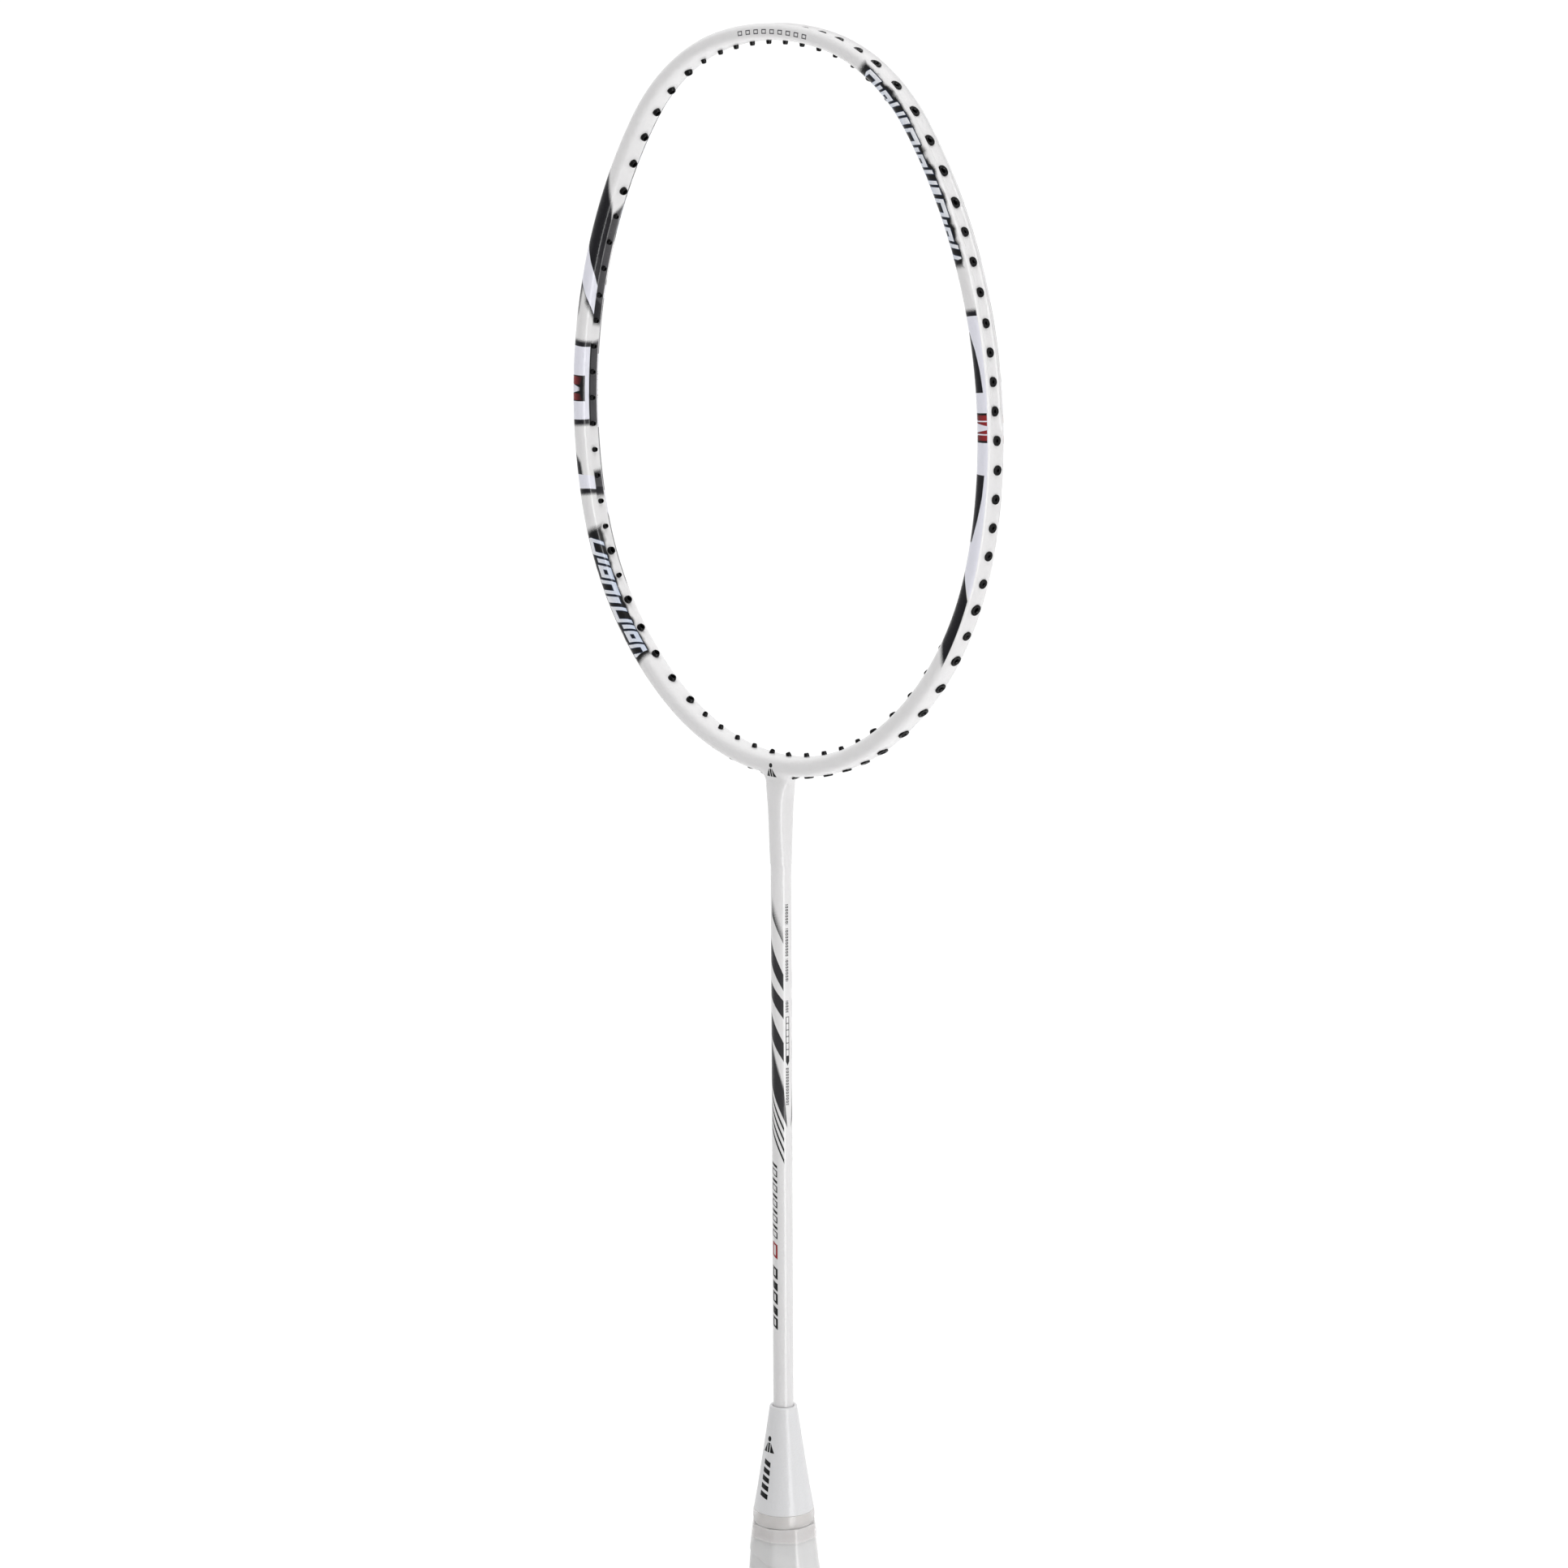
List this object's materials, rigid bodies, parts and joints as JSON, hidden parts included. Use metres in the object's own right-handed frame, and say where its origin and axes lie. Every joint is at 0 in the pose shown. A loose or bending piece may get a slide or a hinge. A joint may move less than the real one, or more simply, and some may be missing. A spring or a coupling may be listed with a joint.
{
  "type": "badminton racket",
  "caption": "Unstrung isometric badminton racket: squared-oval hollow head with flanged grommets, one-piece neck, slim shaft, cone and wrapped eight-sided handle.",
  "frame": {"origin": "on the shaft's axis at the middle of the hand's hold on the handle, 80 mm above the butt end", "axes": "+Z along the shaft to the head, +X to the right seen from the front, +Y to the back; the strings' plane is XZ"},
  "size_m": [0.1992, 0.0262, 0.675],
  "materials": {
    "pearl_lacquer": "gloss pearl white lacquer over carbon fibre, with black, charcoal, lilac-white and red paint work",
    "pearl_plastic": "gloss moulded plastic with a fine pearl flake",
    "bare_carbon": "bare moulded carbon fibre",
    "wood": "plain maple, unfinished",
    "grip_polyurethane": "white cushioned polyurethane band, slightly tacky",
    "clear_soft_plastic": "soft translucent plastic",
    "clear_tape": "clear tape, slightly milky",
    "steel_wire": "bright steel wire",
    "cap_plastic": "gloss white moulded plastic",
    "disc_plastic": "gloss black plastic",
    "grommet_nylon": "black moulded nylon, semi-gloss"
  },
  "bodies": {
    "root": {"head_frame": "pearl_lacquer", "shaft": "pearl_lacquer", "cone": "pearl_plastic", "t_joint": "bare_carbon", "shaft_plug": "wood", "handle_core": "wood", "grip_wrap": "grip_polyurethane", "grip_collar": "clear_soft_plastic", "finishing_tape": "clear_tape", "grip_staple": "steel_wire", "butt_cap": "cap_plastic", "butt_disc": "disc_plastic", "grommets_top_right": "grommet_nylon", "grommets_top_left": "grommet_nylon", "grommets_shoulder_right": "grommet_nylon", "grommets_shoulder_left": "grommet_nylon", "grommets_side_right": "grommet_nylon", "grommets_side_left": "grommet_nylon", "grommets_lower_right": "grommet_nylon", "grommets_lower_left": "grommet_nylon", "grommets_throat_right": "grommet_nylon", "grommets_throat_left": "grommet_nylon"}
  },
  "joints": []
}
